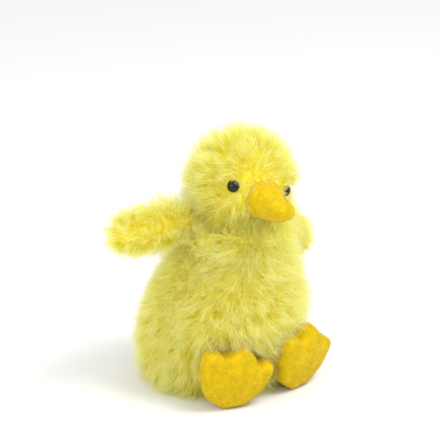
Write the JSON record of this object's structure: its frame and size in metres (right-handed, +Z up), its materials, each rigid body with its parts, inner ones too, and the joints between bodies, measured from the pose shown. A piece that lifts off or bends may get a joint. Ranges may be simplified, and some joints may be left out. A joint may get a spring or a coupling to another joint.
{
  "type": "stuffed toy duckling",
  "caption": "Small sitting stuffed duckling of long yellow fur, with a felt beak, glossy bead eyes, outstretched wings and two felt feet.",
  "frame": {"origin": "centre of the flat base panel, on the surface the toy sits on", "axes": "+Z up, the toy faces -Y, its own right side is -X"},
  "size_m": [0.1299, 0.1058, 0.1432],
  "materials": {
    "fur": "long fine pile, pale at the tips",
    "felt": "matte wool felt",
    "filling": "matte fibre filling",
    "panel": "matte woven cloth",
    "thread": "matte thread",
    "eye": "gloss",
    "washer": "matte"
  },
  "bodies": {
    "body": {"body_base_panel": "panel", "body_fur_left": "fur", "body_fur_right": "fur", "body_stuffing": "filling", "closing_seam_thread": "thread"},
    "neck": {"neck_seam_thread": "thread"},
    "head": {"beak_felt_left": "felt", "beak_felt_right": "felt", "beak_stuffing": "filling", "eye_left": "eye", "eye_right": "eye", "eye_washer_left": "washer", "eye_washer_right": "washer", "head_fur_gusset": "fur", "head_fur_left": "fur", "head_fur_right": "fur", "head_stuffing": "filling"},
    "wing_right": {"wing_right_fur_top": "fur", "wing_right_fur_under": "fur", "wing_right_seam_thread": "thread", "wing_right_stuffing": "filling"},
    "wing_left": {"wing_left_fur_top": "fur", "wing_left_fur_under": "fur", "wing_left_seam_thread": "thread", "wing_left_stuffing": "filling"},
    "foot_right": {"foot_right_felt_back": "felt", "foot_right_felt_front": "felt", "foot_right_seam_thread": "thread", "foot_right_stuffing": "filling"},
    "foot_left": {"foot_left_felt_back": "felt", "foot_left_felt_front": "felt", "foot_left_seam_thread": "thread", "foot_left_stuffing": "filling"}
  },
  "joints": [
    {"name": "neck_turn", "type": "hinge", "parent": "body", "child": "neck", "pos_m": [0, -0.011, 0.101], "axis": [0, 0, 1], "range_deg": [-25, 25], "stiffness_Nm_per_rad": 0.05},
    {"name": "head_nod", "type": "hinge", "parent": "neck", "child": "head", "pos_m": [0, -0.011, 0.101], "axis": [1, 0, 0], "range_deg": [-12, 10], "stiffness_Nm_per_rad": 0.08},
    {"name": "wing_right_flap", "type": "hinge", "parent": "body", "child": "wing_right", "pos_m": [-0.0265, -0.004, 0.0985], "axis": [0, 1, 0], "range_deg": [-28, 45], "stiffness_Nm_per_rad": 0.02},
    {"name": "wing_left_flap", "type": "hinge", "parent": "body", "child": "wing_left", "pos_m": [0.03, -0.003, 0.088], "axis": [0, 1, 0], "range_deg": [-65, 3], "stiffness_Nm_per_rad": 0.02},
    {"name": "foot_right_flop", "type": "hinge", "parent": "body", "child": "foot_right", "pos_m": [-0.018, -0.028, 0.0145], "axis": [1, 0, 0], "range_deg": [-1, 10], "stiffness_Nm_per_rad": 0.02},
    {"name": "foot_left_flop", "type": "hinge", "parent": "body", "child": "foot_left", "pos_m": [0.023, -0.0275, 0.0145], "axis": [1, 0, 0], "range_deg": [-1, 10], "stiffness_Nm_per_rad": 0.02}
  ]
}
